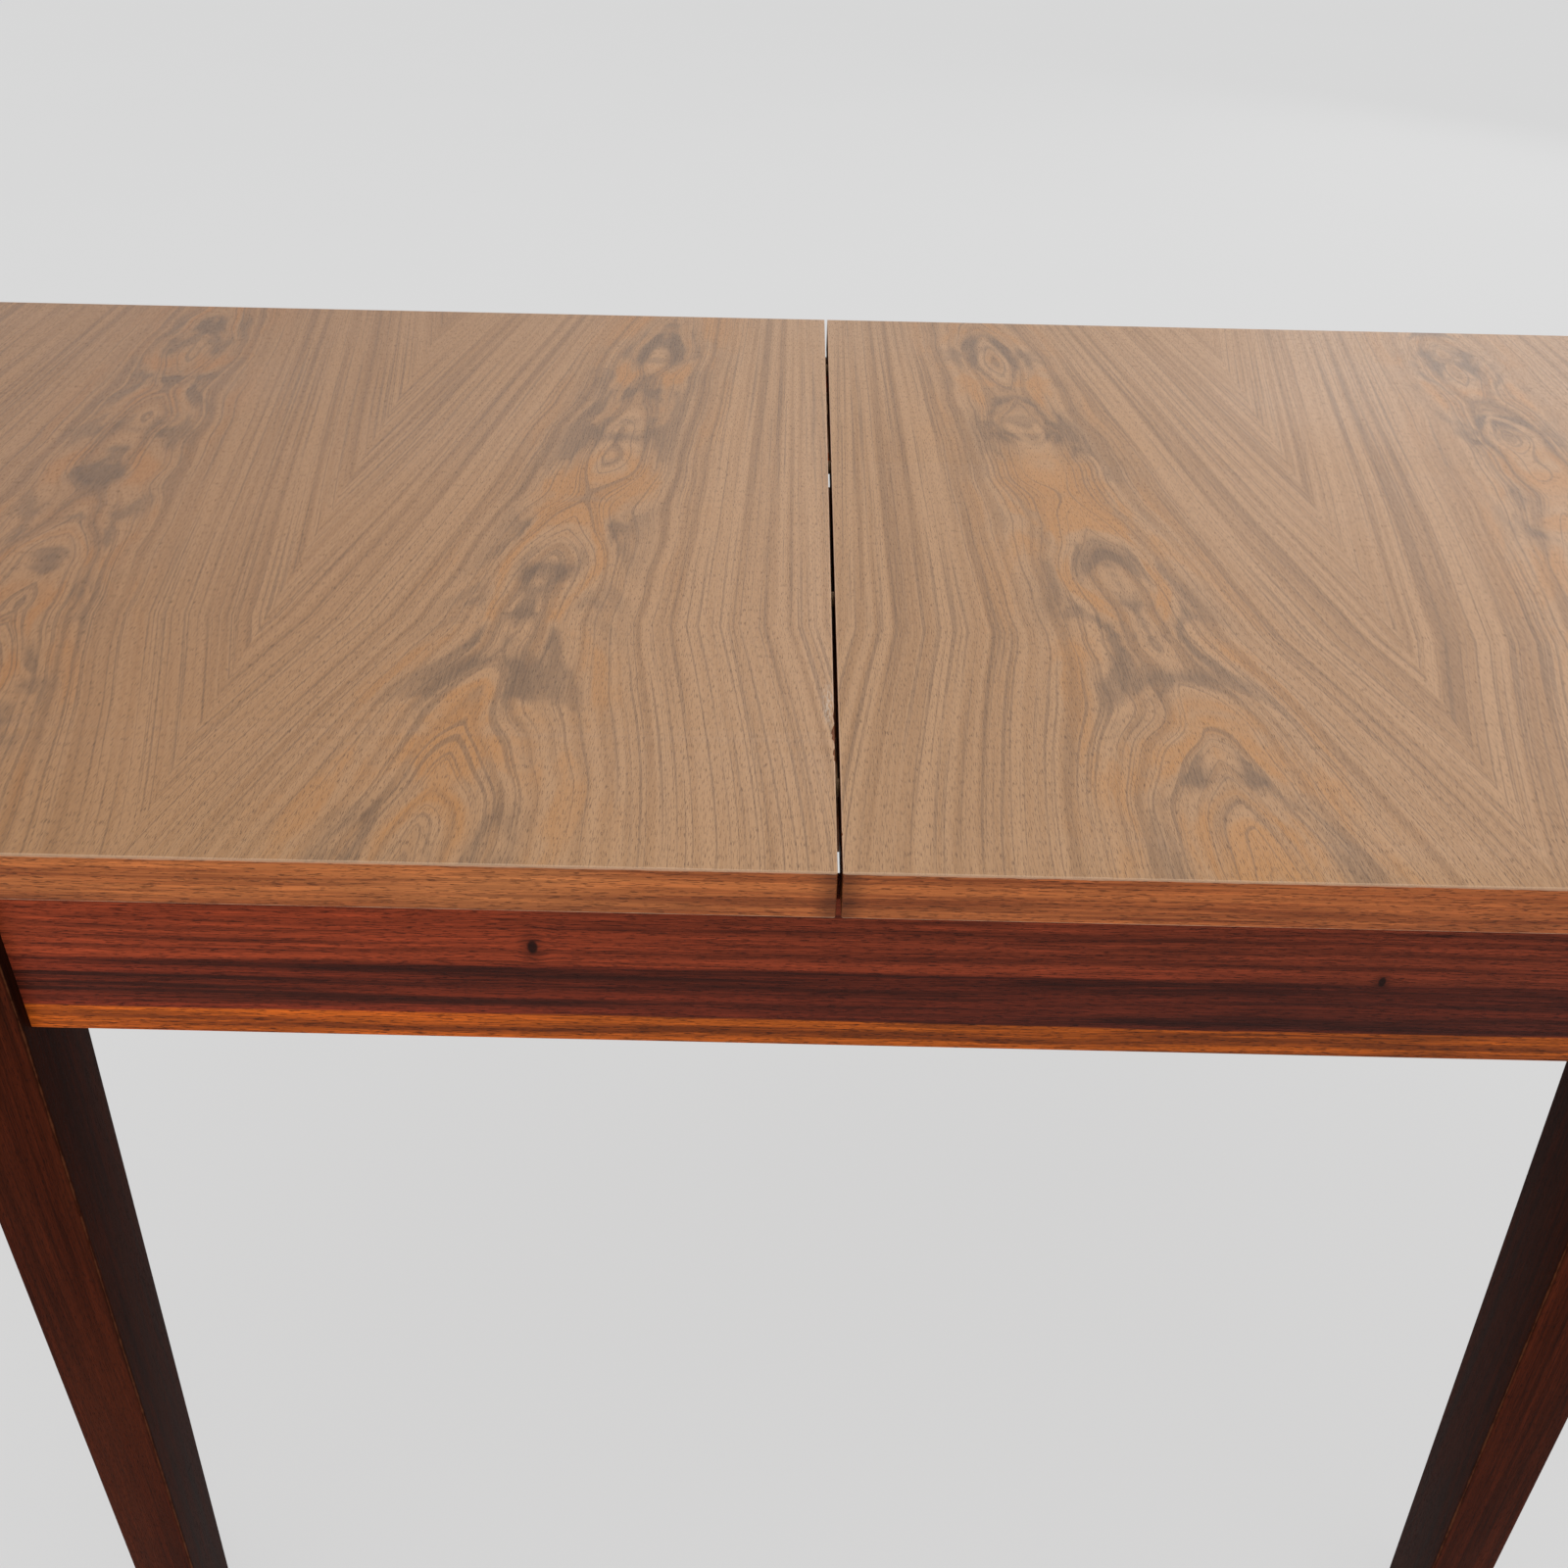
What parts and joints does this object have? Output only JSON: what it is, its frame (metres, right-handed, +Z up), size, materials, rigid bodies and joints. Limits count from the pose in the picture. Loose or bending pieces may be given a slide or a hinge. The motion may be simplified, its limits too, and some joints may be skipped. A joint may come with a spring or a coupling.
{
  "type": "extendable dining table",
  "caption": "Rectangular dining table on four tapered legs, with half-tops that slide apart on wooden bars and a loose leaf stored inside the frame.",
  "frame": {"origin": "on the floor, under the middle of the closed top", "axes": "+X along the table, to the right of someone facing the front; +Y to the rear; +Z up"},
  "size_m": [1.6, 0.85, 0.74],
  "materials": {
    "face_veneer": "satin oiled walnut veneer",
    "core_board": "raw blockboard",
    "edge_lipping": "satin solid hardwood",
    "apron_wood": "satin dark red-brown hardwood",
    "leg_wood": "satin dark red-brown hardwood",
    "hardwood_fittings": "planed beech",
    "zinc_steel": "zinc plated",
    "foot_glide": "matt brown nylon"
  },
  "bodies": {
    "frame": {"rear_right_leg": "leg_wood", "front_right_leg": "leg_wood", "rear_left_leg": "leg_wood", "front_left_leg": "leg_wood", "rear_right_foot_glide": "foot_glide", "front_right_foot_glide": "foot_glide", "rear_left_foot_glide": "foot_glide", "front_left_foot_glide": "foot_glide", "rear_right_corner_block": "hardwood_fittings", "front_right_corner_block": "hardwood_fittings", "rear_left_corner_block": "hardwood_fittings", "front_left_corner_block": "hardwood_fittings", "corner_hanger_bolts": "zinc_steel", "corner_washers": "zinc_steel", "corner_nuts": "zinc_steel", "front_apron": "apron_wood", "rear_apron": "apron_wood", "left_end_apron": "apron_wood", "right_end_apron": "apron_wood", "left_cross_rail": "hardwood_fittings", "right_cross_rail": "hardwood_fittings", "bar_keepers": "zinc_steel", "keeper_screws": "zinc_steel", "leaf_core": "core_board", "leaf_peg_side_lipping": "edge_lipping", "leaf_socket_side_lipping": "edge_lipping", "leaf_left_lipping": "edge_lipping", "leaf_right_lipping": "edge_lipping", "leaf_face_veneer": "face_veneer", "leaf_pegs": "hardwood_fittings"},
    "left_half_top": {"left_top_core": "core_board", "left_seam_lipping": "edge_lipping", "left_end_lipping": "edge_lipping", "left_front_lipping": "edge_lipping", "left_rear_lipping": "edge_lipping", "left_face_veneer": "face_veneer", "left_front_slide_bar": "hardwood_fittings", "left_rear_slide_bar": "hardwood_fittings", "left_bar_screws": "zinc_steel", "left_bar_stops": "hardwood_fittings", "left_seam_pegs": "hardwood_fittings"},
    "right_half_top": {"right_top_core": "core_board", "right_seam_lipping": "edge_lipping", "right_end_lipping": "edge_lipping", "right_front_lipping": "edge_lipping", "right_rear_lipping": "edge_lipping", "right_face_veneer": "face_veneer", "right_front_slide_bar": "hardwood_fittings", "right_rear_slide_bar": "hardwood_fittings", "right_bar_screws": "zinc_steel", "right_bar_stops": "hardwood_fittings"}
  },
  "joints": [
    {"name": "left_half_slide", "type": "slide", "parent": "frame", "child": "left_half_top", "axis": [-1, 0, 0], "range_m": [0, 0.225]},
    {"name": "right_half_slide", "type": "slide", "parent": "frame", "child": "right_half_top", "axis": [1, 0, 0], "range_m": [0, 0.225]}
  ]
}
